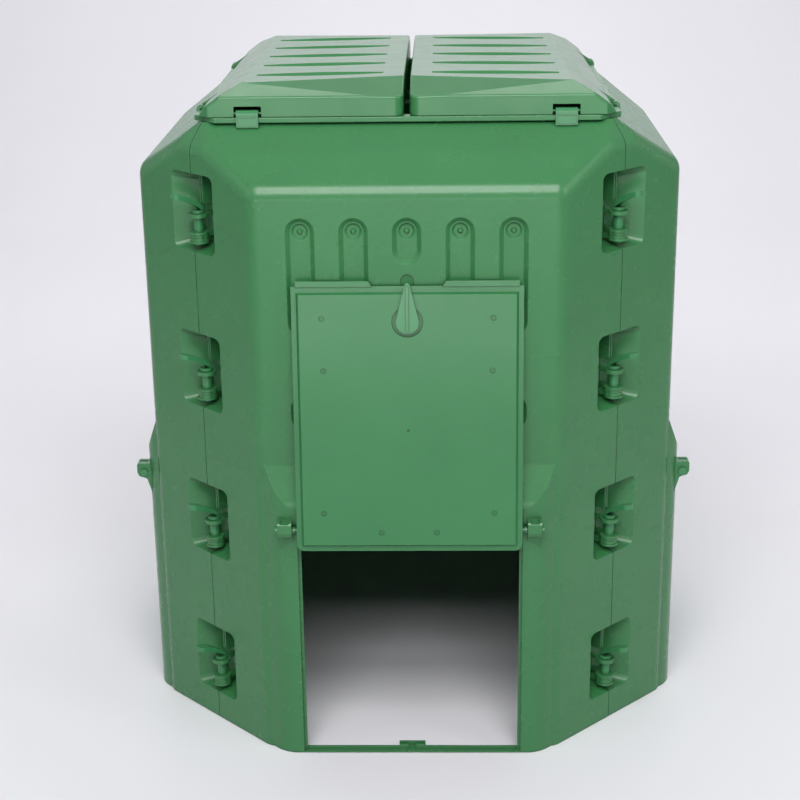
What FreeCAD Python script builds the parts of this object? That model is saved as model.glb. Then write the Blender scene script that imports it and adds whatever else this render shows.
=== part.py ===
import FreeCAD, Part
import math
import os

# Compost bin with lid: four moulded walls pinned together at the corners,
# four swing-up removal flaps and a two-part lid. Millimetres, +Z up.
# The origin is the middle of the open bottom, on the ground. -Y is the front.

# Octagonal casing
WALL_HALF = 382.0        # middle to the flat of a wall
CORNER_SUM = 590.0       # |x| + |y| on a chamfered corner
SHOULDER_Z = 831.0       # where the wall turns into the roof slope
RIM_HALF = 283.0         # middle to the top end of the roof slope
RIM_Z = 904.0            # height of the top end of the roof slope
CORNER_TOP_Z = 874.0     # where a chamfered corner turns in towards the rim
CORNER_TOP_SLOPE = 1.3
WALL_T = 5.0
EDGE_R = 28.0            # outer rounding of the casing's edges
SEAM_GAP = 1.2           # between two walls at a corner
FLANGE_DEPTH = 14.0      # inner stiffening flange along each seam
FLANGE_T = 4.0

# Rim bead that the lids close on
BEAD_OUT = 8.0           # past the end of the roof slope
BEAD_IN = 11.0
BEAD_H = 7.5
BEAD_SEAT = 0.5          # sunk into the casing's rim
BEAD_CORNER = 30.0       # cut across the bead's corners

# Raised door frame low on each wall
FRAME_RISE = 18.0
FRAME_INSET = 4.0        # sides of the frame behind the chamfered corners
RAMP_TOP_Z = 443.0
RAMP_FOOT_Z = 393.0
FRAME_EDGE_R = 45.0
OPEN_HALF = 157.5
OPEN_TOP_Z = 383.5
JAMB_DEPTH = 23.0
LIP_HALF_INSET = 4.5     # stop lip inside the jambs
LIP_T = 4.0
LIP_GAP = 0.4            # between lip and closed flap
LIP_TOP_Z = 328.0        # below the path of the flap's tail

# Sill under the opening, with a notched hump that catches the latch
SILL_BASE_T = 2.2
SILL_RIB_H = 6.5
SILL_RIB_T = 3.2
HUMP_HALF = 19.0
HUMP_H = 9.5
HUMP_NOTCH_HALF = 5.5    # the latch's tip passes here when it points at the sill
CATCH_GAP = 0.3          # between the hump and the turned latch
CATCH_BACK_T = 2.5       # wall behind the latch's tip

# Vent grooves high on each wall
GROOVE_PITCH = 71.0
GROOVE_COUNT = 5
GROOVE_HALF = 19.5
GROOVE_DEPTH = 6.0
GROOVE_TOP_Z = 793.0
GROOVE_FOOT_Z = 630.0
OVAL_FOOT_Z = 729.0      # the middle groove is a short closed oval
SLOT_TOP_Z = 545.0       # short recesses lower down
SLOT_FOOT_Z = 495.0
DISH_R = 11.5
DISH_DEPTH = 3.0
DISH_NUB_R = 3.0
CATCH_HALF = 9.0         # arch notch above the raised flap's latch
CATCH_Z = 716.0
CATCH_H = 20.0
CATCH_DEPTH = 3.0

# Flap and its hinge
AXIS_Z = 356.0
AXIS_OUT = 7.0           # hinge axis in front of the door frame's face
FLAP_SIDE_GAP = 1.5
FLAP_T = 4.0
FLAP_SET_BACK = 0.5      # outer face behind the frame's face
FLAP_REACH = 346.0       # axis to free edge
FLAP_TAIL = 26.0         # axis to the far edge
FLAP_TAIL_R = 10.0
FLAP_RIM = 7.0           # flat rim round the dished panel
FLAP_DISH = 5.0
FLAP_LEAN = 5.0          # raised flap leans back on the wall
MARK_R = 3.8             # ejector marks on the inside
MARK_DEPTH = 1.6
BAR_REACH = 353.0
BAR_INNER = 47.0
BAR_OUTER = 150.0
BAR_CHAMFER = 5.0
BAR_T = 5.5
KNUCKLE_R = 8.0
KNUCKLE_W = 8.0
PIN_R = 4.0
RUN_CLEARANCE = 0.08     # radial, pins in the bores they turn in
BRACKET_GAP = 6.0        # between flap opening and hinge bracket
BRACKET_W = 20.0
BRACKET_SEAT = 4.0       # sunk into the frame
BRACKET_NOSE = 10.5      # axis to the front of the head
BRACKET_HEAD = 14.0      # axis to the top of the head
BRACKET_JAW = 9.0        # axis to the underside of the head
BRACKET_TAIL = 36.0      # axis to the lower end of the web
BRACKET_DIP = 1.6        # dip in the top of the head
PIN_HEAD_R = 5.6
PIN_HEAD_T = 3.0
PIN_COLLAR_R = 5.2

# Turning latch of a flap
LATCH_REACH = 298.0      # hinge axis to latch axis
LATCH_LENGTH = 54.5
LATCH_BASE_R = 15.5
LATCH_RECESS_R = 21.0
LATCH_RECESS = 3.0
LATCH_T = 3.4
LATCH_RIB_H = 2.2
LATCH_RIB_HALF = 1.8
LATCH_TIP_HALF = 3.2
LATCH_SHAFT_R = 6.0
KNOB_R = 16.0
KNOB_H = 5.0
KNOB_GRIP_HALF = 3.0
FACE_CLEARANCE = 0.6

# Corner pockets, counted from the ground up
POCKET_FIRST_Z = 98.0
POCKET_PITCH = 228.0
POCKET_COUNT = 4
POCKET_HALF_W = 45.5
POCKET_HALF_H = 55.0
POCKET_FLOOR_HALF_W = 17.0
POCKET_FLOOR_HALF_H = 46.0
POCKET_DEPTH = 35.0
POCKET_R = 11.0
POCKET_WALL = 4.0

# Connector: rings on the walls and the lift-out pin through them
CONN_DEPTH = 9.0         # pin axis behind the chamfered face
SHANK_R = 6.6
RING_R = 13.5
WAIST_R = 12.0           # between the flanges of the two lower rings
RING_FLANGE = 3.0
COLLAR_R = 13.2
COLLAR_Z = (-7.0, -1.6)
UPPER_RING_Z = (-35.0, -27.5)
LOWER_RING_Z = (-43.0, -35.5)
NECK_W = 6.0
SEAM_CLEAR = 0.5
PIN_HEAD_GAP = 0.4       # between collar and pin head
PIN_HEAD_GROW = 2.2      # head wider than the shank
PIN_TOP_Z = 3.0
PIN_TIP_Z = -47.0
PIN_END_GAP = 0.6        # under the pin's tip
LEVER_TURN = -4.0
LEVER_REACH = 41.5
LEVER_TIP_Z = 31.0
LEVER_ROOT_Z = 1.0
LEVER_BOW = 4.0          # how far the lever arches above a straight line
LEVER_T = 7.0
LEVER_ROOT_HALF = 5.0
LEVER_HALF = 8.0
FIN_DEPTH = 16.2         # seam fin above the pin, behind the chamfered face
FIN_T = 2.6              # on each side of the seam
FIN_FOOT_Z = 10.0

# Lids
LID_SEAT_GAP = 0.3       # between bead and closed lid
LID_SKIRT_INSET = 3.0    # skirt behind the bead's outer face
LID_GAP_HALF = 4.0
LID_T = 4.0
LID_EDGE_R = 3.5
LID_INNER_R = 14.0       # upright corners beside the gap
LID_CORNER = 18.0        # cut across the outer corners
SKIRT_H = 26.7
CROWN_H = 44.7           # top of the lid beside the gap
LID_SIDE = ((63.0, 41.9), (36.0, 29.7), (14.0, 13.7), (4.0, 0.0))  # inset from the skirt, height
CREASE_IN = 67.0         # skirt to the front edge of the top, beside the gap
CREASE_OUT = 32.0        # the same at the outer side
CREASE_FOOT = 36.0       # gap to where the front's crease meets the skirt
LOUVRE_COUNT = 5
LOUVRE_PITCH = 95.0
LOUVRE_IN = 25.0         # gap edge to louvre
LOUVRE_OUT = 72.0        # skirt to louvre
LOUVRE_HALF_W = 16.0
LOUVRE_END_HALF = 6.0    # half width at its blunt ends
LOUVRE_DEPTH = 5.0

# Lid hinges
HINGE_OUT = 4.0          # hinge axis outside the rim
HINGE_UP = 6.0           # and above it
EAR_INSET = 66.5         # end of the rim to the outer face of the ear
EAR_T = 9.0
EAR_R = 7.0
EAR_FOOT_HALF = 8.0
EAR_SIDE_GAP = 0.5
LID_KNUCKLE_R = 6.3
LID_KNUCKLE_W = 14.0
LID_PIN_R = 3.0
LID_PIN_HEAD_R = 5.0
LID_PIN_HEAD_T = 1.5
LID_PIN_HOLE_R = 2.4
LID_PIN_HOLE = 4.0
EAR_SLOT_R = 18.5

# Wind clips
CLIP_INSET = 73.0        # skirt to the middle of the clip
CLIP_HALF_W = 15.0
NOTCH_HALF_W = 18.5
NOTCH_H = 14.2
CLIP_AXIS_INSET = 2.5    # clip axis behind the skirt
CLIP_AXIS_H = 5.0        # and above the lid's foot
CLIP_BARREL_R = 4.5
CLIP_PIN_R = 1.8
CLIP_T = 2.5
CLIP_CHAMFER = 3.5
CLIP_PLATE_GAP = 0.6     # between bead and plate
CLIP_DROP = 5.4          # plate's foot below the rim
CLIP_BORDER = 1.6        # raised border round the plate
CLIP_BORDER_T = 0.8
NOSE_REACH = 0.4         # rounded nose that snaps under the bead
NOSE_H = 2.3
CHEEK_W = 6.0
CHEEK_R = 5.5

FACE_HALF = WALL_HALF + FRAME_RISE
AXIS_Y = FACE_HALF + AXIS_OUT
FLAP_HALF = OPEN_HALF - FLAP_SIDE_GAP
FLAP_FACE = FACE_HALF - FLAP_SET_BACK
SLOPE = (RIM_Z - SHOULDER_Z) / (WALL_HALF - RIM_HALF)
CORNER_HALF = CORNER_SUM / math.sqrt(2)
LID_FOOT_Z = RIM_Z - BEAD_SEAT + BEAD_H + LID_SEAT_GAP
LID_SKIRT_HALF = RIM_HALF + BEAD_OUT - LID_SKIRT_INSET
SKIRT_TOP_Z = LID_FOOT_Z + SKIRT_H
LID_CROWN_Z = LID_FOOT_Z + CROWN_H
HINGE_X = RIM_HALF + HINGE_OUT
HINGE_Z = RIM_Z + HINGE_UP
EAR_Y = (RIM_HALF - EAR_INSET - EAR_T, RIM_HALF - EAR_INSET)
CLIP_X = LID_SKIRT_HALF - CLIP_INSET
CLIP_AXIS_Y = LID_SKIRT_HALF - CLIP_AXIS_INSET
CLIP_AXIS_Z = LID_FOOT_Z + CLIP_AXIS_H
BIG = 3000.0
SMOOTH_TURN = 0.01       # radians, below this two faces run smoothly into each other

V = FreeCAD.Vector
Z_AXIS = V(0, 0, 1)


def box(x0, x1, y0, y1, z0, z1):
    return Part.makeBox(x1 - x0, y1 - y0, z1 - z0, V(x0, y0, z0))


def half_space(normal, distance):
    """Big block that holds every point p with normal . p below distance."""
    block = Part.makeBox(BIG, BIG, BIG, V(-BIG / 2, -BIG / 2, -BIG))
    unit = V(*normal).normalize()
    block.Placement = FreeCAD.Placement(unit * distance, FreeCAD.Rotation(Z_AXIS, unit))
    return block


def convex(planes):
    """Solid inside all planes, each given as normal and distance."""
    solid = half_space(*planes[0])
    for plane in planes[1:]:
        solid = solid.common(half_space(*plane))
    return solid


def through(normal, point):
    """Plane with this normal that passes through the point."""
    unit = V(*normal).normalize()
    return normal, unit.dot(V(*point))


def inset(planes, amount):
    return [(normal, distance - amount) for normal, distance in planes]


def round_edges(solid, radius, wanted):
    """Fillet the creased edges whose middle point and direction satisfy the test."""
    chosen = []
    for edge in solid.Edges:
        middle = edge.valueAt((edge.FirstParameter + edge.LastParameter) / 2)
        if wanted(middle, edge) and crease(solid, edge, middle) > SMOOTH_TURN:
            chosen.append(edge)
    return solid.makeFillet(radius, chosen)


def crease(solid, edge, middle):
    """Angle between the two faces that meet at an edge."""
    sides = solid.ancestorsOfType(edge, Part.Face)
    first, second = [side.normalAt(*side.Surface.parameter(middle)) for side in sides]
    return first.getAngle(second)


def spin(shape, degrees, origin=V(0, 0, 0), axis=Z_AXIS):
    turned = shape.copy()
    turned.rotate(origin, axis, degrees)
    return turned


def moved(shape, x=0.0, y=0.0, z=0.0):
    copy = shape.copy()
    copy.translate(V(x, y, z))
    return copy


def mirrored_x(shape):
    return shape.mirror(V(0, 0, 0), V(1, 0, 0))


def fused(shapes):
    return shapes[0].multiFuse(shapes[1:]).removeSplitter()


def face_of(points):
    corners = [V(*point) for point in points]
    return Part.Face(Part.makePolygon(corners + corners[:1]))


def prism_x(outline, x0, x1):
    """Outline of (y, z) points, drawn out along X."""
    return face_of([(x0, y, z) for y, z in outline]).extrude(V(x1 - x0, 0, 0))


def prism_y(outline, y0, y1):
    """Outline of (x, z) points, drawn out along Y."""
    return face_of([(x, y0, z) for x, z in outline]).extrude(V(0, y1 - y0, 0))


def rod_x(radius, x0, x1, y, z):
    return Part.makeCylinder(radius, x1 - x0, V(x0, y, z), V(1, 0, 0))


def rod_y(radius, y0, y1, x, z):
    return Part.makeCylinder(radius, y1 - y0, V(x, y0, z), V(0, 1, 0))


def rod_z(radius, z0, z1, x=0.0, y=0.0):
    return Part.makeCylinder(radius, z1 - z0, V(x, y, z0))


# Casing
def casing_planes(foot, top):
    planes = [((0, 0, -1), -foot), ((0, 0, 1), top)]
    for quarter in range(4):
        angle = math.radians(90 * quarter)
        out = (math.sin(angle), -math.cos(angle))
        planes.append(((out[0], out[1], 0), WALL_HALF))
        corner = ((out[0] - out[1]) / math.sqrt(2), (out[1] + out[0]) / math.sqrt(2))
        planes.append(((corner[0], corner[1], 0), CORNER_HALF))
        turn = (corner[0] * CORNER_HALF, corner[1] * CORNER_HALF, CORNER_TOP_Z)
        planes.append(through((corner[0] * CORNER_TOP_SLOPE, corner[1] * CORNER_TOP_SLOPE, 1), turn))
        shoulder = (out[0] * WALL_HALF, out[1] * WALL_HALF, SHOULDER_Z)
        planes.append(through((out[0] * SLOPE, out[1] * SLOPE, 1), shoulder))
    return planes


def casing(amount, foot):
    """Octagonal body with a square roof, its planes moved in by this amount."""
    top = RIM_Z + 30
    planes = casing_planes(foot, top)
    body = convex(planes[:2] + inset(planes[2:], amount))

    def outer_edge(middle, edge):
        return foot + 1 < middle.z < top - 1

    body = round_edges(body, EDGE_R - amount, outer_edge)
    return body.common(box(-BIG, BIG, -BIG, BIG, foot, RIM_Z))


def door_frame(amount, foot):
    """Raised frame on the front wall, level with the chamfered corners, with a ramp on top."""
    planes = [
        ((0, 0, -1), -foot),
        ((0, 1, 0), -WALL_HALF + 30),
        ((0, -1, 0), FACE_HALF - amount),
        through((0, -(RAMP_TOP_Z - RAMP_FOOT_Z), FRAME_RISE), (0, -FACE_HALF, RAMP_FOOT_Z)),
        ((1, -1, 0), CORNER_HALF - FRAME_INSET),
        ((-1, -1, 0), CORNER_HALF - FRAME_INSET),
    ]
    frame = convex(planes[:3] + inset(planes[3:], amount))

    def face_edge(middle, edge):
        return middle.y < -WALL_HALF - FRAME_RISE / 3 + amount and middle.z > foot + 1

    return round_edges(frame, FRAME_EDGE_R - amount, face_edge)


def tapered_slot(half, depth, z_foot, z_top, grow):
    """Upright recess in the front wall with round ends and sloping sides."""
    mouth = half + grow
    floor = half - depth + grow
    low = z_foot + half
    high = z_top - half

    def outline(radius, y):
        left = V(-radius, y, low)
        bottom = Part.Arc(left, V(0, y, low - radius), V(radius, y, low)).toShape()
        top = Part.Arc(V(radius, y, high), V(0, y, high + radius), V(-radius, y, high)).toShape()
        right_side = Part.makeLine(V(radius, y, low), V(radius, y, high))
        left_side = Part.makeLine(V(-radius, y, high), left)
        return Part.Wire([bottom, right_side, top, left_side])

    back = -WALL_HALF + depth + grow
    front = -WALL_HALF - depth
    return Part.makeLoft([outline(floor, back), outline(mouth + depth - grow, front)], True, True)


def groove_recesses(grow):
    """All recesses in the front wall, or the room behind them."""
    recesses = []
    middle = GROOVE_COUNT // 2
    for index in range(GROOVE_COUNT):
        x = (index - middle) * GROOVE_PITCH
        foot = OVAL_FOOT_Z if index == middle else GROOVE_FOOT_Z
        recesses.append(moved(tapered_slot(GROOVE_HALF, GROOVE_DEPTH, foot, GROOVE_TOP_Z, grow), x))
        if index != middle:
            low = tapered_slot(GROOVE_HALF, GROOVE_DEPTH, SLOT_FOOT_Z, SLOT_TOP_Z, grow)
            recesses.append(moved(low, x))
    return recesses


def vent_dishes(wall):
    """Round dish with a small nub in the top end of each groove."""
    floor = -WALL_HALF + GROOVE_DEPTH
    dish_z = GROOVE_TOP_Z - GROOVE_HALF
    middle = GROOVE_COUNT // 2
    for index in range(GROOVE_COUNT):
        x = (index - middle) * GROOVE_PITCH
        dish = Part.makeCone(DISH_R + DISH_DEPTH, DISH_R - DISH_DEPTH, 2 * DISH_DEPTH,
                             V(x, floor - DISH_DEPTH, dish_z), V(0, 1, 0))
        nub = Part.makeCone(DISH_NUB_R + 1, DISH_NUB_R - 1, DISH_DEPTH,
                            V(x, floor + DISH_DEPTH, dish_z), V(0, -1, 0))
        wall = wall.cut(dish).fuse(nub)
    return wall


def dish_backing():
    """Extra wall behind the dishes, so that they don't break through."""
    floor = -WALL_HALF + GROOVE_DEPTH
    middle = GROOVE_COUNT // 2
    pads = []
    for index in range(GROOVE_COUNT):
        x = (index - middle) * GROOVE_PITCH
        pads.append(rod_y(DISH_R + 3, floor + 2, floor + WALL_T + DISH_DEPTH, x,
                          GROOVE_TOP_Z - GROOVE_HALF))
    return pads


def pocket_block(grow):
    """Corner pocket on the front face of an upright corner, at height zero."""
    run_w = (POCKET_HALF_W - POCKET_FLOOR_HALF_W, POCKET_DEPTH)
    run_h = (POCKET_HALF_H - POCKET_FLOOR_HALF_H, POCKET_DEPTH)
    floor = -CORNER_HALF + POCKET_DEPTH
    planes = [
        ((0, 1, 0), floor + grow),
        ((0, -1, 0), CORNER_HALF + EDGE_R),
    ]
    for side in (1, -1):
        wide = through((side * run_w[1], run_w[0], 0), (side * POCKET_HALF_W, -CORNER_HALF, 0))
        high = through((0, run_h[0], side * run_h[1]), (0, -CORNER_HALF, side * POCKET_HALF_H))
        planes += inset([wide, high], -grow)
    block = convex(planes)

    def slanted(middle, edge):
        return abs(middle.x) > 5 and abs(middle.z) > 5 and len(edge.Vertexes) == 2 and not on_floor(middle)

    def on_floor(middle):
        return middle.y > floor + grow - 1 or middle.y < -CORNER_HALF - EDGE_R + 1

    return round_edges(block, POCKET_R + grow, slanted)


def pocket_heights():
    return [POCKET_FIRST_Z + POCKET_PITCH * index for index in range(POCKET_COUNT)]


def at_corners(shape):
    """Copies of a piece of a front-facing pocket at every pocket of the front wall."""
    return [moved(spin(shape, side * 45), z=height) for side in (1, -1) for height in pocket_heights()]


def corner_pockets(grow):
    return at_corners(pocket_block(grow))


def ring(radius, z_range, side):
    """Connector ring with a neck to the pocket floor on one side of the seam."""
    z0, z1 = z_range
    axis_y = -CORNER_HALF + CONN_DEPTH
    floor = -CORNER_HALF + POCKET_DEPTH
    neck_x = sorted((side * SEAM_CLEAR, side * (SEAM_CLEAR + NECK_W)))
    neck = box(neck_x[0], neck_x[1], axis_y, floor + 1, z0, z1)
    body = rod_z(radius, z0, z1, 0, axis_y).fuse(neck)
    return body.cut(rod_z(SHANK_R + RUN_CLEARANCE, z0 - 1, z1 + 1, 0, axis_y))


def flanged(piece, z_range):
    """Ring with its outside turned down between these heights."""
    axis_y = -CORNER_HALF + CONN_DEPTH
    z0, z1 = z_range
    groove = rod_z(RING_R + 1, z0, z1, 0, axis_y).cut(rod_z(WAIST_R, z0, z1, 0, axis_y))
    front = box(-RING_R - 2, RING_R + 2, axis_y - RING_R - 2, axis_y, z0, z1)
    return piece.cut(groove.common(front))


def wall_rings():
    """Rings on the front wall: two at its right corner, one at its left."""
    lower_waist = (LOWER_RING_Z[0] + RING_FLANGE, LOWER_RING_Z[1])
    upper_waist = (UPPER_RING_Z[0], UPPER_RING_Z[1] - RING_FLANGE)
    right = [ring(COLLAR_R, COLLAR_Z, -1), flanged(ring(RING_R, LOWER_RING_Z, -1), lower_waist)]
    left = [flanged(ring(RING_R, UPPER_RING_Z, 1), upper_waist)]
    placed = []
    for height in pocket_heights():
        placed += [moved(spin(piece, 45), z=height) for piece in right]
        placed += [moved(spin(piece, -45), z=height) for piece in left]
    return placed


def ring_room():
    """Space that the rings take in a pocket."""
    axis_y = -CORNER_HALF + CONN_DEPTH
    return rod_z(RING_R + SEAM_CLEAR, LOWER_RING_Z[0] - 1, COLLAR_Z[1] + 1, 0, axis_y)


def pin_bore():
    axis_y = -CORNER_HALF + CONN_DEPTH
    return rod_z(SHANK_R + RUN_CLEARANCE, PIN_TIP_Z - PIN_END_GAP, COLLAR_Z[1] + 1, 0, axis_y)


def seam_fins():
    """Fins of the front wall that meet their neighbours' in the upper half of each pocket."""
    front = -CORNER_HALF + FIN_DEPTH
    back = -CORNER_HALF + POCKET_DEPTH + 1
    fins = []
    for side in (1, -1):
        x0, x1 = sorted((-side * SEAM_GAP / 2, -side * (SEAM_GAP / 2 + FIN_T)))
        fin = box(x0, x1, front, back, FIN_FOOT_Z, POCKET_HALF_H)
        fins += [moved(spin(fin, side * 45), z=height) for height in pocket_heights()]
    return fins


def wedge():
    """The quarter of space that the front wall fills."""
    reach = SEAM_GAP / 2
    return [((1, 1, 0), -reach), ((-1, 1, 0), -reach), ((0, 0, -1), 0), ((0, 0, 1), BIG / 2)]


def rim_bead():
    outer = RIM_HALF + BEAD_OUT
    inner = RIM_HALF - BEAD_IN
    z0 = RIM_Z - BEAD_SEAT
    ring_body = box(-outer, outer, -outer, outer, z0, z0 + BEAD_H)
    corner = (2 * outer - BEAD_CORNER) / math.sqrt(2)
    ring_body = ring_body.common(spin(box(-corner, corner, -corner, corner, z0, z0 + BEAD_H), 45))

    def long_edge(middle, edge):
        return max(abs(middle.x), abs(middle.y)) > outer - 1 or abs(middle.x) + abs(middle.y) > 2 * corner * 0.7

    ring_body = round_edges(ring_body, 1.5, long_edge)
    return ring_body.cut(box(-inner, inner, -inner, inner, z0 - 1, z0 + BEAD_H + 1))


def seam_flanges():
    """Inner flanges along both seams of the front wall."""
    outside = convex(casing_planes(0, RIM_Z)[:2] + inset(casing_planes(0, RIM_Z)[2:], WALL_T - 1))
    inside = convex(casing_planes(-5, RIM_Z + 5)[:2]
                    + inset(casing_planes(-5, RIM_Z + 5)[2:], WALL_T + FLANGE_DEPTH))
    band = outside.cut(inside)
    near = SEAM_GAP / 2
    far = SEAM_GAP / 2 + FLANGE_T
    flanges = []
    for side in (1, -1):
        slab = convex([((side, 1, 0), -near), ((-side, -1, 0), far), ((0, 1, 0), -RIM_HALF / 2)])
        flanges.append(band.common(slab))
    return flanges


def bracket(side):
    """Hinge bracket beside the flap: a head over the pin, on a sloping web."""
    inner = OPEN_HALF + BRACKET_GAP
    seat = -FACE_HALF + BRACKET_SEAT
    front = -AXIS_Y - BRACKET_NOSE
    top = AXIS_Z + BRACKET_HEAD
    outline = [
        (seat, top),
        (front + 2, top),
        (front, top - 2.5),
        (front, AXIS_Z - 1),
        (front + 3, AXIS_Z - BRACKET_JAW + 2),
        (-AXIS_Y, AXIS_Z - BRACKET_JAW),
        (-FACE_HALF - 3, AXIS_Z - BRACKET_JAW - 2),
        (seat, AXIS_Z - BRACKET_TAIL),
    ]
    body = prism_x(outline, inner, inner + BRACKET_W)
    dip = box(inner + 4, inner + BRACKET_W - 4, front - 1, -FACE_HALF - 2, top - BRACKET_DIP, top + 1)
    body = body.cut(dip)
    body = body.cut(rod_x(PIN_R + RUN_CLEARANCE, inner - 5, inner + BRACKET_W + 5, -AXIS_Y, AXIS_Z))
    return body if side > 0 else mirrored_x(body)


def jambs_and_sill():
    """Returns, stop lips and sill round the opening of the front wall."""
    inner = FACE_HALF - JAMB_DEPTH
    lip_face = FLAP_FACE - FLAP_T - LIP_GAP
    shell = FACE_HALF - WALL_T + 1
    back = FLAP_FACE - FLAP_T - FLAP_DISH - FACE_CLEARANCE + CATCH_GAP
    latch_back = FLAP_FACE - FLAP_T - FLAP_DISH - FACE_CLEARANCE - LATCH_T - LATCH_RIB_H - FACE_CLEARANCE
    reach = OPEN_HALF + WALL_T
    hump = prism_y([(-HUMP_HALF, 0), (HUMP_HALF, 0), (HUMP_HALF, SILL_RIB_H),
                    (HUMP_HALF - HUMP_H + SILL_RIB_H, HUMP_H), (-HUMP_HALF + HUMP_H - SILL_RIB_H, HUMP_H),
                    (-HUMP_HALF, SILL_RIB_H)], -back - SILL_RIB_T, -back)
    rib = box(-reach, reach, -back - SILL_RIB_T, -back, 0, SILL_RIB_H).fuse(hump)
    rib = rib.cut(box(-HUMP_NOTCH_HALF, HUMP_NOTCH_HALF, -FACE_HALF, -inner, SILL_BASE_T, HUMP_H + 1))
    parts = [
        rib,
        box(-reach, reach, -FACE_HALF, -back, 0, SILL_BASE_T),
        box(-HUMP_HALF, HUMP_HALF, -back - 1, -latch_back + CATCH_BACK_T, 0, SILL_BASE_T),
        box(-HUMP_HALF, HUMP_HALF, -latch_back, -latch_back + CATCH_BACK_T, 0, HUMP_H - CATCH_GAP),
        box(-reach, reach, -shell, -inner, OPEN_TOP_Z, OPEN_TOP_Z + WALL_T),
    ]
    for side in (1, -1):
        jamb = box(OPEN_HALF, OPEN_HALF + WALL_T, -shell, -inner, 0, OPEN_TOP_Z + WALL_T)
        lip = box(OPEN_HALF - LIP_HALF_INSET, OPEN_HALF + 1, -lip_face, -lip_face + LIP_T, 0, LIP_TOP_Z)
        for piece in (jamb, lip):
            parts.append(piece if side > 0 else mirrored_x(piece))
    return parts


def latch_catch():
    """Shallow arch notch that the raised latch points into."""
    low = CATCH_Z - CATCH_H
    block = box(-CATCH_HALF, CATCH_HALF, -WALL_HALF - 1, -WALL_HALF + CATCH_DEPTH, low, CATCH_Z - CATCH_HALF)
    arch = rod_y(CATCH_HALF, -WALL_HALF - 1, -WALL_HALF + CATCH_DEPTH, 0, CATCH_Z - CATCH_HALF)
    return block.fuse(arch)


def plain_wall():
    """Front wall without the parts that only some walls have."""
    quarter = convex(wedge())
    outer = casing(0, 0).common(quarter).fuse(door_frame(0, 0))
    room = casing(WALL_T, -20).common(convex([((1, 1, 0), 20), ((-1, 1, 0), 20), ((0, 0, -1), 30),
                                              ((0, 0, 1), BIG / 2)]))
    room = room.fuse(door_frame(WALL_T, -20))
    for recess in groove_recesses(0) + corner_pockets(0) + [latch_catch()]:
        outer = outer.cut(recess)
    for backing in groove_recesses(WALL_T) + corner_pockets(POCKET_WALL) + dish_backing():
        room = room.cut(backing)
    wall = outer.cut(room)
    wall = vent_dishes(wall)
    wall = wall.cut(box(-OPEN_HALF, OPEN_HALF, -BIG, -WALL_HALF + 40, -1, OPEN_TOP_Z))
    flanges = [flange.cut(fused(corner_pockets(0))) for flange in seam_flanges()]
    additions = jambs_and_sill() + flanges + [bracket(1), bracket(-1), rim_bead().common(quarter)]
    wall = fused([wall] + additions)
    for room in at_corners(ring_room()):
        wall = wall.cut(room)
    wall = fused([wall] + wall_rings() + seam_fins())
    for bore in at_corners(pin_bore()):
        wall = wall.cut(bore)
    return wall


# Lid hinge ears
def ear_outline():
    """Ear profile: a round top over the hinge axis and a foot on the rim and the roof."""
    inner = HINGE_X - EAR_FOOT_HALF
    outer = HINGE_X + EAR_FOOT_HALF
    y0, y1 = EAR_Y
    foot = prism_y([(inner, RIM_Z), (RIM_HALF, RIM_Z), (outer, RIM_Z - SLOPE * (outer - RIM_HALF)),
                    (HINGE_X + EAR_R, HINGE_Z), (HINGE_X - EAR_R, HINGE_Z)], y0, y1)
    return foot.fuse(rod_y(EAR_R, y0, y1, HINGE_X, HINGE_Z)).removeSplitter()


def hinge_ear():
    bore = rod_y(LID_PIN_R, EAR_Y[0] - 1, EAR_Y[1] + 1, HINGE_X, HINGE_Z)
    return ear_outline().cut(bore)


def lid_hinge_pin():
    y0 = EAR_Y[0] - EAR_SIDE_GAP - LID_KNUCKLE_W
    end = EAR_Y[1] + LID_PIN_HEAD_T
    shaft = rod_y(LID_PIN_R, y0, EAR_Y[1], HINGE_X, HINGE_Z)
    head = rod_y(LID_PIN_HEAD_R, EAR_Y[1], end, HINGE_X, HINGE_Z)
    hole = rod_y(LID_PIN_HOLE_R, end - LID_PIN_HOLE, end + 1, HINGE_X, HINGE_Z)
    return shaft.fuse(head).removeSplitter().cut(hole)


def bead_notch():
    """Room in the bead of a side wall for one ear and one lid knuckle."""
    y0 = EAR_Y[0] - EAR_SIDE_GAP - LID_KNUCKLE_W - 1
    y1 = EAR_Y[1] + LID_PIN_HEAD_T + EAR_SIDE_GAP
    reach = HINGE_X + 2 * EAR_R
    above = box(HINGE_X - EAR_FOOT_HALF - EAR_SIDE_GAP, reach, y0, y1, RIM_Z, RIM_Z + 2 * BEAD_H)
    outside = box(RIM_HALF, reach, y0, y1, RIM_Z - BEAD_SEAT, RIM_Z + BEAD_H)
    return above.fuse(outside)


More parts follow.
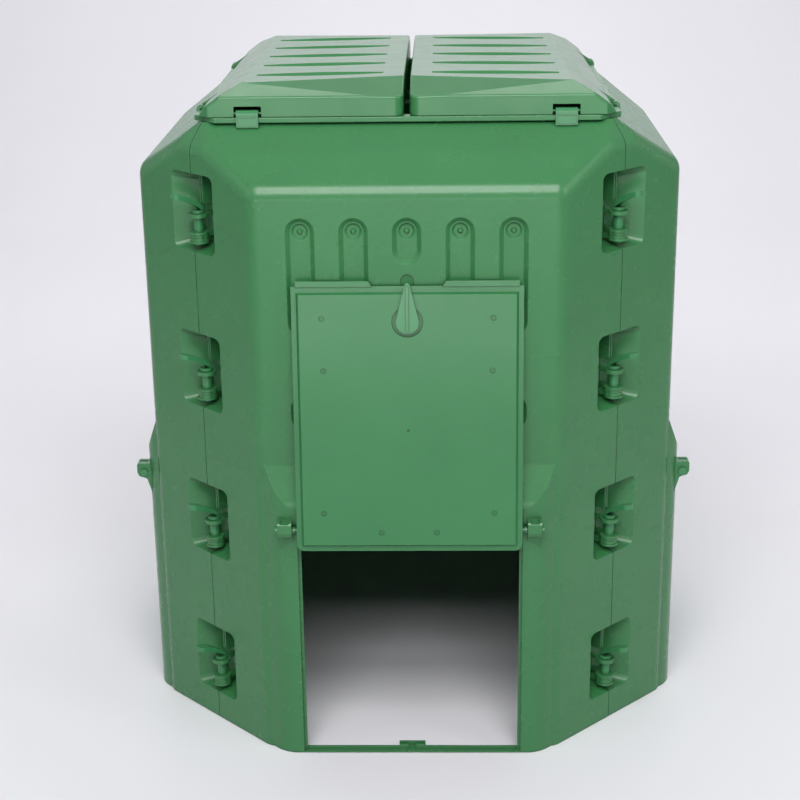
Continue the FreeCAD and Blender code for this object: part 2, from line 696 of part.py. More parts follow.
# Flap, built closed in the front wall
def flap_body():
    low = AXIS_Z - FLAP_REACH
    high = AXIS_Z + FLAP_TAIL
    plate = box(-FLAP_HALF, FLAP_HALF, -FLAP_FACE, -FLAP_FACE + FLAP_T, low, high)

    def upright(middle, edge):
        return abs(edge.Length - FLAP_T) < 0.01 and middle.z > high - 1

    plate = round_edges(plate, FLAP_TAIL_R, upright)
    inner_half = FLAP_HALF - FLAP_RIM

    def dish(amount, y_out, y_in):
        run = FLAP_DISH * 0.6
        planes = [
            ((0, -1, 0), -y_out),
            ((0, 1, 0), y_in),
        ]
        foot_y = -FLAP_FACE + FLAP_T
        for side in (1, -1):
            planes += inset([through((side * FLAP_DISH, run, 0), (side * inner_half, foot_y, 0))], amount)
        top = through((0, run, FLAP_DISH), (0, foot_y, high - FLAP_RIM))
        bottom = through((0, run, -FLAP_DISH), (0, foot_y, low + FLAP_RIM + 1))
        return convex(planes + inset([top, bottom], amount))

    inner_y = -FLAP_FACE + FLAP_T + FLAP_DISH
    panel = dish(0, -FLAP_FACE + 1, inner_y)
    hollow = dish(FLAP_T * 0.8, -FLAP_FACE - 1, inner_y - FLAP_T)
    body = plate.fuse(panel).cut(hollow)
    bars = []
    for side in (1, -1):
        outline = [(BAR_INNER, low + 1), (BAR_INNER + BAR_CHAMFER, AXIS_Z - BAR_REACH),
                   (BAR_OUTER, AXIS_Z - BAR_REACH), (BAR_OUTER, low + 1)]
        bar = prism_y(outline, -FLAP_FACE, -FLAP_FACE + BAR_T)
        bars.append(bar if side > 0 else mirrored_x(bar))
    knuckles = []
    for side in (1, -1):
        x0, x1 = sorted((side * FLAP_HALF, side * (FLAP_HALF - KNUCKLE_W)))
        round_part = rod_x(KNUCKLE_R, x0, x1, -AXIS_Y, AXIS_Z)
        web = box(x0, x1, -AXIS_Y, -FLAP_FACE + 1, AXIS_Z - KNUCKLE_R, AXIS_Z + KNUCKLE_R)
        bore = rod_x(PIN_R, x0 - 1, x1 + 1, -AXIS_Y, AXIS_Z)
        knuckles.append(round_part.fuse(web).cut(bore))
    return fused([body] + bars + knuckles)


def flap():
    """Flap with its latch recess, shaft bore and ejector marks."""
    body = flap_body()
    latch_z = AXIS_Z - LATCH_REACH
    inner_y = -FLAP_FACE + FLAP_T + FLAP_DISH
    boss = rod_y(LATCH_RECESS_R + 3, inner_y - FLAP_T - LATCH_RECESS, inner_y - 1, 0, latch_z)
    recess = rod_y(LATCH_RECESS_R, inner_y - LATCH_RECESS, inner_y + 5, 0, latch_z)
    bore = rod_y(LATCH_SHAFT_R + RUN_CLEARANCE, -FLAP_FACE - 20, inner_y + 5, 0, latch_z)
    body = body.fuse(boss).cut(recess).cut(bore)
    marks = [(0, 148, MARK_R / 2)]
    for x, reach in ((115, 303), (114, 231), (117, 30), (38, 2)):
        marks += [(x, reach, MARK_R), (-x, reach, MARK_R)]
    for x, reach, radius in marks:
        body = body.cut(rod_y(radius, inner_y - MARK_DEPTH, inner_y + 1, x, AXIS_Z - reach))
    return body.removeSplitter()


def flap_pin(side):
    """Hinge pin: pressed into the flap's knuckle, turning in the bracket."""
    inner = OPEN_HALF + BRACKET_GAP
    outer = inner + BRACKET_W
    pin = fused([
        rod_x(PIN_R, FLAP_HALF - KNUCKLE_W, outer + 0.5, -AXIS_Y, AXIS_Z),
        rod_x(PIN_HEAD_R, outer + 0.4, outer + 0.4 + PIN_HEAD_T, -AXIS_Y, AXIS_Z),
        rod_x(PIN_COLLAR_R, OPEN_HALF + 1.5, inner - 0.7, -AXIS_Y, AXIS_Z),
    ])
    return pin if side > 0 else mirrored_x(pin)


def latch():
    """Teardrop lever on the inside of the flap, with its shaft."""
    axis_z = AXIS_Z - LATCH_REACH
    inner_y = -FLAP_FACE + FLAP_T + FLAP_DISH
    seat = inner_y - LATCH_RECESS + FACE_CLEARANCE / 2
    under = inner_y + FACE_CLEARANCE
    top = under + LATCH_T
    disc = rod_y(LATCH_BASE_R, seat, top, 0, axis_z)
    tip_z = axis_z - LATCH_LENGTH
    sine = (LATCH_BASE_R - LATCH_TIP_HALF) / LATCH_LENGTH
    cosine = math.sqrt(1 - sine * sine)
    shoulder = (LATCH_BASE_R * cosine, axis_z - LATCH_BASE_R * sine)
    blade = prism_y([(shoulder[0], shoulder[1]), (LATCH_TIP_HALF, tip_z + LATCH_TIP_HALF),
                     (0, tip_z), (-LATCH_TIP_HALF, tip_z + LATCH_TIP_HALF),
                     (-shoulder[0], shoulder[1])], under, top)
    rib = box(-LATCH_RIB_HALF, LATCH_RIB_HALF, under + 1, top + LATCH_RIB_H,
              tip_z + 5, axis_z + LATCH_BASE_R - 3)
    shaft = rod_y(LATCH_SHAFT_R, -FLAP_FACE + FLAP_SET_BACK - 2, seat + 1, 0, axis_z)
    return fused([disc, blade, rib, shaft])


def knob():
    """Turning knob on the outside of the flap, pressed on the latch shaft."""
    axis_z = AXIS_Z - LATCH_REACH
    inner_y = -FLAP_FACE + FLAP_T + FLAP_DISH
    seat = inner_y - FLAP_T - LATCH_RECESS - FACE_CLEARANCE / 2
    disc = rod_y(KNOB_R, seat - KNOB_H, seat, 0, axis_z)
    for side in (1, -1):
        x0, x1 = sorted((side * KNOB_GRIP_HALF, side * (KNOB_R - 3)))
        scoop = box(x0, x1, seat - KNOB_H - 1, seat - 1.5, axis_z - KNOB_R, axis_z + KNOB_R)
        disc = disc.cut(scoop.common(rod_y(KNOB_R - 2.5, seat - KNOB_H - 1, seat, 0, axis_z)))
    bore = rod_y(LATCH_SHAFT_R, -FLAP_FACE + FLAP_SET_BACK - 2, seat + 1, 0, axis_z)
    return disc.cut(bore)


# Connector pin, built at a front-facing corner at height zero
def connector_pin():
    axis_y = -CORNER_HALF + CONN_DEPTH
    shank = rod_z(SHANK_R, PIN_TIP_Z + 2, PIN_TOP_Z, 0, axis_y)
    tip = Part.makeCone(SHANK_R - 2, SHANK_R, 2, V(0, axis_y, PIN_TIP_Z))
    head = rod_z(SHANK_R + PIN_HEAD_GROW, COLLAR_Z[1] + PIN_HEAD_GAP, PIN_TOP_Z, 0, axis_y)
    pin = fused([shank, tip, head, lever(axis_y)])
    front = -CORNER_HALF - BIG / 2
    back = -CORNER_HALF + FIN_DEPTH - SEAM_CLEAR
    return pin.common(box(-BIG / 2, BIG / 2, front, back, -BIG / 2, BIG / 2))


def lever(axis_y):
    """Thumb lever that rises outwards from the top of the pin in a shallow arch."""
    start = V(0, axis_y + LEVER_ROOT_HALF, LEVER_ROOT_Z)
    end = V(0, axis_y - LEVER_REACH, LEVER_TIP_Z - LEVER_T)
    knee = (start + end) * 0.5 + V(0, 0, LEVER_BOW)
    under = Part.Arc(start, knee, end).toShape()
    over = moved(under, z=LEVER_T)
    closing = [Part.makeLine(end, end + V(0, 0, LEVER_T)), Part.makeLine(start, start + V(0, 0, LEVER_T))]
    side_view = Part.Face(Part.Wire(Part.__sortEdges__([under, closing[0], over, closing[1]])))
    side_view.translate(V(-2 * LEVER_HALF, 0, 0))
    ribbon = side_view.extrude(V(4 * LEVER_HALF, 0, 0))
    waist_y = axis_y - 0.5 * LEVER_REACH
    tip_y = axis_y - LEVER_REACH + LEVER_HALF
    root_y = axis_y + LEVER_ROOT_HALF
    low = PIN_TIP_Z
    plan = face_of([(LEVER_ROOT_HALF, root_y, low), (LEVER_HALF, waist_y, low), (LEVER_HALF, tip_y, low),
                    (-LEVER_HALF, tip_y, low), (-LEVER_HALF, waist_y, low), (-LEVER_ROOT_HALF, root_y, low)])
    plan = plan.extrude(V(0, 0, 3 * LEVER_REACH)).fuse(rod_z(LEVER_HALF, low, low + 3 * LEVER_REACH, 0, tip_y))
    return spin(ribbon.common(plan), LEVER_TURN, V(0, axis_y, 0))


# Lid, built as the right one
def lid_planes(foot):
    profile = [(LID_SKIRT_HALF - side_inset, LID_FOOT_Z + height) for side_inset, height in LID_SIDE]
    top_x, top_z = profile[0]
    planes = [
        ((0, 0, -1), -foot),
        ((-1, 0, 0), -LID_GAP_HALF),
        through((LID_CROWN_Z - top_z, 0, top_x - LID_GAP_HALF), (top_x, 0, top_z)),
        ((1, 0, 0), profile[-1][0]),
    ]
    for upper, lower in zip(profile, profile[1:]):
        planes.append(through((upper[1] - lower[1], 0, lower[0] - upper[0]), (upper[0], 0, upper[1])))
    top_in = V(LID_GAP_HALF, -LID_SKIRT_HALF + CREASE_IN, LID_CROWN_Z)
    top_out = V(top_x, -LID_SKIRT_HALF + CREASE_OUT, top_z)
    crease_foot = V(LID_GAP_HALF + CREASE_FOOT, -LID_SKIRT_HALF, SKIRT_TOP_Z)
    skirt_out = V(top_x, -LID_SKIRT_HALF, SKIRT_TOP_Z)
    for corners in ((top_in, top_out, crease_foot), (top_out, crease_foot, skirt_out)):
        normal = (corners[1] - corners[0]).cross(corners[2] - corners[0])
        if normal.z < 0:
            normal = normal * -1
        for side in (1, -1):
            planes.append(through((normal.x, side * normal.y, normal.z),
                                  (corners[0].x, side * corners[0].y, corners[0].z)))
    corner = (2 * LID_SKIRT_HALF - LID_CORNER) / math.sqrt(2)
    for side in (1, -1):
        planes.append(((0, side, 0), LID_SKIRT_HALF))
        planes.append(((1, side, 0), corner))
    return planes


def lid_block(amount, foot):
    """Lid's solid body, its planes moved in by this amount, with round corners beside the gap."""
    planes = lid_planes(foot)
    half = LID_SKIRT_HALF - amount
    plan = box(LID_GAP_HALF + amount, BIG / 2, -half, half, foot, foot + BIG / 2)

    def beside_gap(middle, edge):
        return middle.x < LID_GAP_HALF + amount + 1 and abs(middle.y) > half - 1

    plan = round_edges(plan, LID_INNER_R - amount, beside_gap)
    return convex(planes[:1] + inset(planes[1:], amount)).common(plan)


def louvre(grow):
    """Bulging groove with blunt ends, along X at the middle of the lid's top."""
    x0 = LID_GAP_HALF + LOUVRE_IN
    x1 = LID_SKIRT_HALF - LOUVRE_OUT
    middle = (x0 + x1) / 2
    top_z = LID_FOOT_Z + LID_SIDE[0][1]

    def outline(widen, shorten, z):
        half = LOUVRE_HALF_W + widen
        end_half = LOUVRE_END_HALF + widen
        start = V(x0 + shorten, end_half, z)
        end = V(x1 - shorten, end_half, z)
        start_near = V(start.x, -end_half, z)
        end_near = V(end.x, -end_half, z)
        near = Part.Arc(start_near, V(middle, -half, z), end_near).toShape()
        far = Part.Arc(end, V(middle, half, z), start).toShape()
        return Part.Wire([near, Part.makeLine(end_near, end), far, Part.makeLine(start, start_near)])

    low = outline(grow - LOUVRE_DEPTH, LOUVRE_DEPTH * 2 - grow, top_z - LOUVRE_DEPTH - grow)
    high = outline(grow + LOUVRE_DEPTH, -grow, top_z + LOUVRE_DEPTH)
    solid = Part.makeLoft([low, high], True, True)
    top_x = LID_SKIRT_HALF - LID_SIDE[0][0]
    tilt = math.degrees(math.atan((LID_CROWN_Z - top_z) / (top_x - LID_GAP_HALF)))
    return spin(solid, tilt, V(top_x, 0, top_z), V(0, 1, 0))


def louvres(grow):
    piece = louvre(grow)
    middle = (LOUVRE_COUNT - 1) / 2
    return [moved(piece, y=(index - middle) * LOUVRE_PITCH) for index in range(LOUVRE_COUNT)]


def clip_notch(side):
    y0, y1 = sorted((side * (CLIP_AXIS_Y - CLIP_BARREL_R - 2), side * (LID_SKIRT_HALF + 5)))
    return box(CLIP_X - NOTCH_HALF_W, CLIP_X + NOTCH_HALF_W, y0, y1, LID_FOOT_Z - 5, LID_FOOT_Z + NOTCH_H)


def clip_cheeks(side):
    """Bosses on both sides of the clip notch that hold the clip's pin."""
    cheeks = []
    for x0 in (CLIP_X - NOTCH_HALF_W - CHEEK_W, CLIP_X + NOTCH_HALF_W):
        y = side * CLIP_AXIS_Y
        boss = rod_x(CHEEK_R, x0, x0 + CHEEK_W, y, CLIP_AXIS_Z)
        web_y = sorted((y - side * CHEEK_R, side * (LID_SKIRT_HALF - 1)))
        web = box(x0, x0 + CHEEK_W, web_y[0], web_y[1], CLIP_AXIS_Z, SKIRT_TOP_Z - LID_T)
        cheek = boss.fuse(web).common(box(0, BIG, -LID_SKIRT_HALF, LID_SKIRT_HALF, LID_FOOT_Z + 1, BIG))
        cheeks.append(cheek)
    return cheeks


def knuckle_arm():
    """Side view of the arm from the lid's side to its hinge barrel."""
    root_x = LID_SKIRT_HALF - (LID_SIDE[1][0] + LID_SIDE[2][0]) / 2
    root_z = LID_FOOT_Z + (LID_SIDE[1][1] + LID_SIDE[2][1]) / 2
    inner_x = LID_SKIRT_HALF - LID_SIDE[2][0] - LID_T
    turn = math.atan2(root_z - HINGE_Z, HINGE_X - root_x) - math.asin(
        LID_KNUCKLE_R / math.hypot(root_x - HINGE_X, root_z - HINGE_Z))
    touch = (HINGE_X + LID_KNUCKLE_R * math.sin(turn), HINGE_Z + LID_KNUCKLE_R * math.cos(turn))
    return [(root_x, root_z), touch, (HINGE_X, HINGE_Z), (inner_x, LID_FOOT_Z + 1), (root_x - 1, root_z - LID_T)]


def right_lid():
    outer = lid_block(0, LID_FOOT_Z)

    def soft_edge(middle, edge):
        return middle.z > LID_FOOT_Z + 3

    outer = round_edges(outer, LID_EDGE_R, soft_edge)
    room = lid_block(LID_T, LID_FOOT_Z - 5)
    for recess in louvres(0):
        outer = outer.cut(recess)
    for backing in louvres(LID_T):
        room = room.cut(backing)
    body = outer.cut(room)
    for side in (1, -1):
        body = body.cut(clip_notch(side))
    knuckles = []
    slots = []
    for side in (1, -1):
        outer_y = EAR_Y[0] - EAR_SIDE_GAP
        y0, y1 = sorted((side * (outer_y - LID_KNUCKLE_W), side * outer_y))
        barrel = rod_y(LID_KNUCKLE_R, y0, y1, HINGE_X, HINGE_Z)
        knuckles.append(barrel.fuse(prism_y(knuckle_arm(), y0, y1)))
        s0, s1 = sorted((side * outer_y, side * (EAR_Y[1] + LID_PIN_HEAD_T + EAR_SIDE_GAP)))
        slots.append(rod_y(EAR_SLOT_R, s0, s1, HINGE_X, HINGE_Z))
    body = body.cut(fused(slots))
    cheeks = clip_cheeks(1) + clip_cheeks(-1)
    body = fused([body] + knuckles + cheeks)
    pin_bore = rod_y(LID_PIN_R + RUN_CLEARANCE, -LID_SKIRT_HALF + 20, LID_SKIRT_HALF - 20, HINGE_X, HINGE_Z)
    body = body.cut(pin_bore)
    for side in (1, -1):
        body = body.cut(rod_x(CLIP_PIN_R, CLIP_X - 40, CLIP_X + 40, side * CLIP_AXIS_Y, CLIP_AXIS_Z))
    return body


def clip():
    """Wind clip of the right lid's front notch, hanging over the bead."""
    plate_in = RIM_HALF + BEAD_OUT + CLIP_PLATE_GAP
    plate_out = plate_in + CLIP_T
    foot_z = RIM_Z - CLIP_DROP
    arm_top = CLIP_AXIS_Z + CLIP_BARREL_R
    nose_top = RIM_Z - BEAD_SEAT - NOSE_REACH
    nose = nose_top - NOSE_H / 2
    outline = [
        (-CLIP_AXIS_Y, arm_top), (-plate_out + CLIP_CHAMFER, arm_top), (-plate_out, arm_top - CLIP_CHAMFER),
        (-plate_out, foot_z - 1.2), (-plate_in, foot_z),
        (-plate_in + NOSE_REACH, nose), (-plate_in, nose_top),
        (-plate_in, arm_top - CLIP_CHAMFER), (-CLIP_AXIS_Y, arm_top - CLIP_T),
    ]
    body = prism_x(outline, CLIP_X - CLIP_HALF_W, CLIP_X + CLIP_HALF_W)
    border_top = CLIP_AXIS_Z - CLIP_AXIS_INSET - CLIP_BORDER_T
    border = box(CLIP_X - CLIP_HALF_W, CLIP_X + CLIP_HALF_W, -plate_out - CLIP_BORDER_T, -plate_out + 1,
                 foot_z, border_top)
    field = box(CLIP_X - CLIP_HALF_W + CLIP_BORDER, CLIP_X + CLIP_HALF_W - CLIP_BORDER,
                -plate_out - CLIP_BORDER_T - 1, -plate_out, foot_z + CLIP_BORDER, border_top - CLIP_BORDER)
    body = body.fuse(border.cut(field))
    barrel = rod_x(CLIP_BARREL_R, CLIP_X - CLIP_HALF_W, CLIP_X + CLIP_HALF_W, -CLIP_AXIS_Y, CLIP_AXIS_Z)
    bore = rod_x(CLIP_PIN_R + RUN_CLEARANCE, CLIP_X - 40, CLIP_X + 40, -CLIP_AXIS_Y, CLIP_AXIS_Z)
    return body.fuse(barrel).removeSplitter().cut(bore)


def clip_pin():
    reach = NOTCH_HALF_W + CHEEK_W
    return rod_x(CLIP_PIN_R, CLIP_X - reach, CLIP_X + reach, -CLIP_AXIS_Y, CLIP_AXIS_Z)


def export(name, shape):
    shape.exportStep("parts/" + name + ".step")


def build_walls():
    wall = plain_wall()
    notches = [bead_notch(), bead_notch().mirror(V(0, 0, 0), V(0, 1, 0))]
    for index, name in enumerate(("front", "right", "back", "left")):
        placed = spin(wall, 90 * index)
        for notch in notches:
            if name == "right":
                placed = placed.cut(notch)
            if name == "left":
                placed = placed.cut(mirrored_x(notch))
        export("wall_" + name, placed)


def build_flaps():
    pieces = {"flap_": flap(), "flap_latch_": latch(), "latch_knob_": knob(),
              "flap_pin_a_": flap_pin(1), "flap_pin_b_": flap_pin(-1)}
    for index, name in enumerate(("front", "right", "back", "left")):
        for prefix, shape in pieces.items():
            if name == "front":
                shape = spin(shape, -180 - FLAP_LEAN, V(0, -AXIS_Y, AXIS_Z), V(1, 0, 0))
            export(prefix + name, spin(shape, 90 * index))


def build_connectors():
    pin = connector_pin()
    corners = ("front_right", "back_right", "back_left", "front_left")
    for index, corner in enumerate(corners):
        for level, height in enumerate(pocket_heights()):
            name = "connector_pin_" + corner + "_" + str(level + 1)
            export(name, moved(spin(pin, 45 + 90 * index), z=height))


def build_lids():
    for side, turn in (("right", 0), ("left", 180)):
        export("lid_" + side, spin(right_lid(), turn))
        for end, flip in (("front", 1), ("back", -1)):
            if turn == 180:
                flip = -flip
            pieces = {"lid_clip_": clip(), "clip_pin_": clip_pin()}
            hinge = {"lid_hinge_ear_": hinge_ear(), "lid_hinge_pin_": lid_hinge_pin()}
            for prefix, shape in pieces.items():
                if flip < 0:
                    shape = shape.mirror(V(0, 0, 0), V(0, 1, 0))
                export(prefix + side + "_" + end, spin(shape, turn))
            for prefix, shape in hinge.items():
                if flip > 0:
                    shape = shape.mirror(V(0, 0, 0), V(0, 1, 0))
                export(prefix + side + "_" + end, spin(shape, turn))


os.makedirs("parts", exist_ok=True)
build_walls()
build_flaps()
build_connectors()
build_lids()
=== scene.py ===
import bpy
from math import cos, pi, sin
from mathutils import Matrix, Vector

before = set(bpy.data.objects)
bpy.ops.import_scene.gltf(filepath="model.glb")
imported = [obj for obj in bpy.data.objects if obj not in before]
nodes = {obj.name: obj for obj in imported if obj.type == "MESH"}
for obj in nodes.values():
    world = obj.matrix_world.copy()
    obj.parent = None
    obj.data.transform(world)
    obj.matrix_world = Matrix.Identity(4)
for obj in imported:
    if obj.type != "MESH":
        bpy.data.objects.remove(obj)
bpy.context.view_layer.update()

# Polyethylene: sizes of its patterns in metres, and how far each goes
PIGMENT_PATCH = 0.120  # the pigment runs a little darker or paler over this width
PIGMENT_DARKER = 0.90
PIGMENT_PALER = 1.08
RUB_PATCH = 0.035  # hands polish or dull the skin in patches this wide
RUB_POLISHED = -0.02
RUB_DULLED = 0.03
SINK_WIDTH = 0.060  # slow hollows, where the plastic shrank as it cooled
SINK_DEPTH = 0.0012
GRAIN_WIDTH = 0.0016  # finer in the real mould, drawn this wide so that it shows
GRAIN_STRENGTH = 0.35
# painted shade: the green is darkened in seams, dimples and corners, where nearby surfaces block the
# light
PAINTED_SHADE_REACH = 0.007  # painted shade reaches this far from a seam or corner
PAINTED_SHADE_DARKEST_AT = 0.25  # how open a spot is, from 0 to 1, where the painted shade is darkest
PAINTED_SHADE_GONE_AT = 0.85
COLOUR_KEPT_IN_PAINTED_SHADE = 0.30
PAINTED_SHADE_COLOUR = "#0f2b17"
POLYETHYLENE_IOR = 1.53
POLYETHYLENE_SPECULAR = 0.4

# Paper sweep, in metres
PAPER_WIDTH = 14
PAPER_NEAR_EDGE = -4.5  # behind the camera
PAPER_BEND_START = 2.6
PAPER_BEND_RADIUS = 1.6
PAPER_RISE = 3.2
PAPER_BELOW_FOOT = 0.0006  # so that the paper and the foot of the bin don't share a plane
PAPER_BLOTCH = 0.8
PAPER_DARK = "#e4e3e8"
PAPER_PALE = "#ebeaef"
PAPER_ROUGHNESS = 0.9
PAPER_IOR = 1.45
GLOW_STARTS = 1.8  # distance from the middle, to either side
GLOW_FULL = 4.4
GLOW_STRENGTH = 0.48

# Room around the studio
ROOM_WHITE = "#f1f0f5"
ROOM_AS_LIGHT = 0.20
ROOM_AS_SEEN = 0.78

# Camera, fitted to the photograph: angles in radians, place in metres
PITCH = 0.3342
ROLL = -0.0135
YAW = -0.0269
FOCAL_PIXELS = 1690.09
IMAGE_PIXELS = 800
SENSOR_WIDTH = 36.0
CAMERA_ACROSS = -0.0219
CAMERA_AHEAD = -2.5637
CAMERA_HEIGHT = 1.2966


# Colours and node helper

def hex_colour(code, alpha=1.0):
    """sRGB hex value as a linear colour."""
    channels = [int(code[i:i + 2], 16) / 255 for i in (1, 3, 5)]
    linear = [c / 12.92 if c <= 0.04045 else ((c + 0.055) / 1.055) ** 2.4 for c in channels]
    return (*linear, alpha)


def add_node(tree, kind, inputs=None, **settings):
    """One shader node with its settings, values and links."""
    node = tree.nodes.new(kind)
    for name, value in settings.items():
        setattr(node, name, value)
    for name, value in (inputs or {}).items():
        socket = node.inputs[name]
        if isinstance(value, bpy.types.NodeSocket):
            tree.links.new(value, socket)
        else:
            socket.default_value = value
    return node


def new_material(name):
    """Material with an empty node tree."""
    material = bpy.data.materials.new(name)
    material.use_nodes = True
    material.node_tree.nodes.clear()
    return material


# Moulded polyethylene

def moulded_polyethylene(name, colour, roughness, grain_height, wander, edge_radius):
    """High-density polyethylene from an injection mould.

    The skin is satin, a little waxy and never quite flat: a fine spark-eroded grain breaks up
    the highlight, and slow sink marks make it wander.  The pigment is evenly mixed, so the
    colour only drifts by a few percent over a hand's breadth.
    """
    material = new_material(name)
    tree = material.node_tree
    place = add_node(tree, "ShaderNodeTexCoord").outputs["Object"]

    # the pigment drifts between a darker and a paler green
    green = hex_colour(colour)[:3]
    drift = add_node(tree, "ShaderNodeTexNoise", {
        "Vector": place,
        "Scale": 1 / PIGMENT_PATCH,
        "Detail": 2.0,
    })
    pigment = add_node(tree, "ShaderNodeMix", {
        "Factor": drift.outputs["Fac"],
        "A": tuple(c * PIGMENT_DARKER for c in green) + (1.0,),
        "B": tuple(min(1.0, c * PIGMENT_PALER) for c in green) + (1.0,),
    }, data_type="RGBA")

    # painted shade: ambient occlusion darkens the colour in dimples, seams and corners
    shade = add_node(tree, "ShaderNodeAmbientOcclusion", {"Distance": PAINTED_SHADE_REACH}, samples=6)
    unshaded = add_node(tree, "ShaderNodeMapRange", {
        "Value": shade.outputs["AO"],
        "From Min": PAINTED_SHADE_DARKEST_AT,
        "From Max": PAINTED_SHADE_GONE_AT,
        "To Min": COLOUR_KEPT_IN_PAINTED_SHADE,
        "To Max": 1.0,
    })
    shaded_pigment = add_node(tree, "ShaderNodeMix", {
        "Factor": unshaded.outputs["Result"],
        "A": hex_colour(PAINTED_SHADE_COLOUR),
        "B": pigment.outputs["Result"],
    }, data_type="RGBA")

    # handling polishes some patches and dulls others
    rub = add_node(tree, "ShaderNodeTexNoise", {
        "Vector": place,
        "Scale": 1 / RUB_PATCH,
        "Detail": 3.0,
    })
    gloss = add_node(tree, "ShaderNodeMapRange", {
        "Value": rub.outputs["Fac"],
        "From Min": 0.3,
        "From Max": 0.7,
        "To Min": roughness + RUB_POLISHED,
        "To Max": roughness + RUB_DULLED,
    })

    # edges softened by the mould, sink marks on them, and the spark-eroded grain over both
    edge = add_node(tree, "ShaderNodeBevel", {"Radius": edge_radius}, samples=4)
    sink = add_node(tree, "ShaderNodeTexNoise", {
        "Vector": place,
        "Scale": 1 / SINK_WIDTH,
        "Detail": 1.0,
    })
    slow = add_node(tree, "ShaderNodeBump", {
        "Height": sink.outputs["Fac"],
        "Strength": wander,
        "Distance": SINK_DEPTH,
        "Normal": edge.outputs["Normal"],
    })
    grain = add_node(tree, "ShaderNodeTexNoise", {
        "Vector": place,
        "Scale": 1 / GRAIN_WIDTH,
        "Detail": 1.0,
    })
    fine = add_node(tree, "ShaderNodeBump", {
        "Height": grain.outputs["Fac"],
        "Strength": GRAIN_STRENGTH,
        "Distance": grain_height,
        "Normal": slow.outputs["Normal"],
    })

    skin = add_node(tree, "ShaderNodeBsdfPrincipled", {
        "Base Color": shaded_pigment.outputs["Result"],
        "Roughness": gloss.outputs["Result"],
        "IOR": POLYETHYLENE_IOR,
        "Specular IOR Level": POLYETHYLENE_SPECULAR,
        "Normal": fine.outputs["Normal"],
    })
    add_node(tree, "ShaderNodeOutputMaterial", {"Surface": skin.outputs["BSDF"]})
    return material


casing_skin = moulded_polyethylene("hdpe_casing_satin_grain", colour="#377646", roughness=0.26,
                                   grain_height=0.00005, wander=0.10, edge_radius=0.0008)
lid_skin = moulded_polyethylene("hdpe_lid_satin_grain", colour="#367746", roughness=0.20,
                                grain_height=0.00002, wander=0.05, edge_radius=0.0012)
flap_skin = moulded_polyethylene("hdpe_flap_fine_grain", colour="#327444", roughness=0.22,
                                 grain_height=0.00004, wander=0.08, edge_radius=0.0010)
fitting_skin = moulded_polyethylene("hdpe_small_fittings_smooth", colour="#3a7f50", roughness=0.18,
                                    grain_height=0.00002, wander=0.05, edge_radius=0.0006)


def skin_of(node_name):
    """Which of the four mouldings a piece belongs to."""
    if node_name.startswith(("wall_", "lid_hinge_ear")):
        return casing_skin
    if node_name in ("lid_left", "lid_right"):
        return lid_skin
    if node_name.startswith("flap_") and not node_name.startswith(("flap_pin", "flap_latch")):
        return flap_skin
    return fitting_skin


for node_name, piece in nodes.items():
    piece.data.materials.clear()
    piece.data.materials.append(skin_of(node_name))


# Paper sweep

def paper_profile(along):
    """Where the paper is, ahead and up, at a distance along it from its near edge."""
    flat = PAPER_BEND_START - PAPER_NEAR_EDGE
    bend = PAPER_BEND_RADIUS * pi / 2
    if along < flat:
        return PAPER_NEAR_EDGE + along, 0.0
    if along < flat + bend:
        turn = (along - flat) / PAPER_BEND_RADIUS
        ahead = PAPER_BEND_START + PAPER_BEND_RADIUS * sin(turn)
        return ahead, PAPER_BEND_RADIUS * (1 - cos(turn))
    return PAPER_BEND_START + PAPER_BEND_RADIUS, PAPER_BEND_RADIUS + along - flat - bend


def studio_sweep():
    """Pale paper sweep: a floor that curves up into the background."""
    bpy.ops.object.select_all(action="DESELECT")
    bpy.ops.mesh.primitive_grid_add(x_subdivisions=1, y_subdivisions=40, size=1.0, location=(0, 0, 0))
    paper = bpy.context.object
    paper.name = "paper_sweep"
    length = (PAPER_BEND_START - PAPER_NEAR_EDGE) + PAPER_BEND_RADIUS * pi / 2 + PAPER_RISE
    for vertex in paper.data.vertices:
        y, z = paper_profile((vertex.co.y + 0.5) * length)
        vertex.co = Vector((vertex.co.x * PAPER_WIDTH, y, z - PAPER_BELOW_FOOT))
    bpy.ops.object.shade_smooth()
    return paper


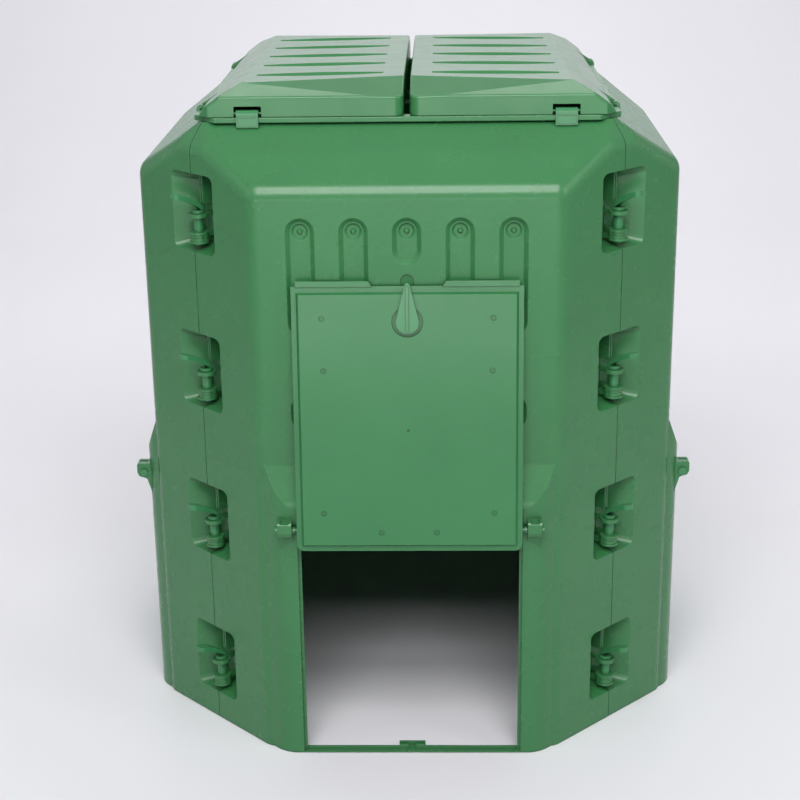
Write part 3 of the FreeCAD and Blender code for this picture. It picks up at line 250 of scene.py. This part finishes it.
def sweep_paper():
    """Matt seamless paper, a little blue-grey, whose pulp leaves faint wide blotches."""
    material = new_material("seamless_paper_pale_grey")
    tree = material.node_tree
    place = add_node(tree, "ShaderNodeTexCoord").outputs["Object"]
    blotch = add_node(tree, "ShaderNodeTexNoise", {
        "Vector": place,
        "Scale": 1 / PAPER_BLOTCH,
        "Detail": 3.0,
    })
    tone = add_node(tree, "ShaderNodeMix", {
        "Factor": blotch.outputs["Fac"],
        "A": hex_colour(PAPER_DARK),
        "B": hex_colour(PAPER_PALE),
    }, data_type="RGBA")
    paper = add_node(tree, "ShaderNodeBsdfPrincipled", {
        "Base Color": tone.outputs["Result"],
        "Roughness": PAPER_ROUGHNESS,
        "IOR": PAPER_IOR,
    })

    # far out at the sides, where no lamp reaches, the paper still looks pale to the camera
    aside = add_node(tree, "ShaderNodeSeparateXYZ", {"Vector": place}).outputs["X"]
    far = add_node(tree, "ShaderNodeMath", {0: aside}, operation="ABSOLUTE")
    faded = add_node(tree, "ShaderNodeMapRange", {
        "Value": far.outputs["Value"],
        "From Min": GLOW_STARTS,
        "From Max": GLOW_FULL,
        "To Min": 0.0,
        "To Max": GLOW_STRENGTH,
    }, interpolation_type="SMOOTHSTEP")
    seen = add_node(tree, "ShaderNodeLightPath").outputs["Is Camera Ray"]
    lift = add_node(tree, "ShaderNodeMath", {0: faded.outputs["Result"], 1: seen}, operation="MULTIPLY")
    glow = add_node(tree, "ShaderNodeEmission", {
        "Color": hex_colour(ROOM_WHITE),
        "Strength": lift.outputs["Value"],
    })
    both = add_node(tree, "ShaderNodeAddShader", {0: paper.outputs["BSDF"], 1: glow.outputs["Emission"]})
    add_node(tree, "ShaderNodeOutputMaterial", {"Surface": both.outputs["Shader"]})
    return material


sweep = studio_sweep()
sweep.data.materials.append(sweep_paper())


# Lamps and room

def softbox(name, place, target, width, height, power):
    """Rectangular soft lamp at a place, turned to face its target."""
    light = bpy.data.lights.new(name, "AREA")
    light.shape = "RECTANGLE"
    light.size = width
    light.size_y = height
    light.energy = power
    lamp = bpy.data.objects.new(name, light)
    bpy.context.scene.collection.objects.link(lamp)
    lamp.location = place
    lamp.rotation_euler = (Vector(target) - Vector(place)).to_track_quat("-Z", "Y").to_euler()
    return lamp


def studio_room():
    """World that looks pale to the camera and in gloss, but lights the bin only a little."""
    world = bpy.data.worlds.new("studio_room")
    bpy.context.scene.world = world
    world.use_nodes = True
    tree = world.node_tree
    tree.nodes.clear()
    ray = add_node(tree, "ShaderNodeLightPath").outputs
    mirrored = add_node(tree, "ShaderNodeMath", {
        0: ray["Is Glossy Ray"],
        1: ray["Is Transmission Ray"],
    }, operation="ADD")
    seen = add_node(tree, "ShaderNodeMath", {
        0: ray["Is Camera Ray"],
        1: mirrored.outputs["Value"],
    }, operation="ADD", use_clamp=True)
    level = add_node(tree, "ShaderNodeMapRange", {
        "Value": seen.outputs["Value"],
        "To Min": ROOM_AS_LIGHT,
        "To Max": ROOM_AS_SEEN,
    })
    room = add_node(tree, "ShaderNodeBackground", {
        "Color": hex_colour(ROOM_WHITE),
        "Strength": level.outputs["Result"],
    })
    add_node(tree, "ShaderNodeOutputWorld", {"Surface": room.outputs["Background"]})


softbox("softbox_over_front", place=(0.0, -2.3, 3.3), target=(0, 0, 0.6),
        width=2.6, height=1.2, power=74)
softbox("softbox_front", place=(0.0, -3.6, 2.8), target=(0, 0, 0.45),
        width=2.6, height=0.9, power=66)
softbox("softbox_left", place=(-3.2, -2.0, 2.2), target=(0, 0, 0.5),
        width=1.2, height=1.8, power=9)
softbox("softbox_right", place=(3.2, -2.0, 2.2), target=(0, 0, 0.5),
        width=1.2, height=1.8, power=20)
softbox("softbox_behind", place=(0.0, 3.3, 2.3), target=(0, 0, 0.9),
        width=3.0, height=1.0, power=12)
softbox("softbox_backdrop", place=(0.0, 1.4, 3.6), target=(0, 4.0, 0.8),
        width=4.0, height=1.0, power=74)
card = softbox("reflector_card_low_front", place=(0.0, -4.8, 0.30), target=(0, 0, 0.30),
               width=4.0, height=0.5, power=26)
card.visible_diffuse = False  # it adds a sheen to the front, and no plain light
studio_room()


# Camera

def photo_camera():
    """Camera at the photograph's viewing angle, for a square frame."""
    right = Vector((cos(YAW), -sin(YAW), 0))
    level = Vector((sin(YAW), cos(YAW), 0))
    up = Vector((0, 0, 1))
    ahead = level * cos(PITCH) - up * sin(PITCH)
    above = level * sin(PITCH) + up * cos(PITCH)
    across_rolled = right * cos(ROLL) + above * sin(ROLL)
    above_rolled = above * cos(ROLL) - right * sin(ROLL)
    place = right * CAMERA_ACROSS + level * CAMERA_AHEAD + up * CAMERA_HEIGHT
    data = bpy.data.cameras.new("photo_camera")
    data.sensor_width = SENSOR_WIDTH
    data.sensor_fit = "HORIZONTAL"
    data.lens = FOCAL_PIXELS / IMAGE_PIXELS * SENSOR_WIDTH
    camera = bpy.data.objects.new("photo_camera", data)
    bpy.context.scene.collection.objects.link(camera)
    turn = Matrix((across_rolled, above_rolled, -ahead)).transposed()
    camera.matrix_world = Matrix.Translation(place) @ turn.to_4x4()
    bpy.context.scene.camera = camera


photo_camera()
bpy.context.scene.view_settings.view_transform = "Standard"
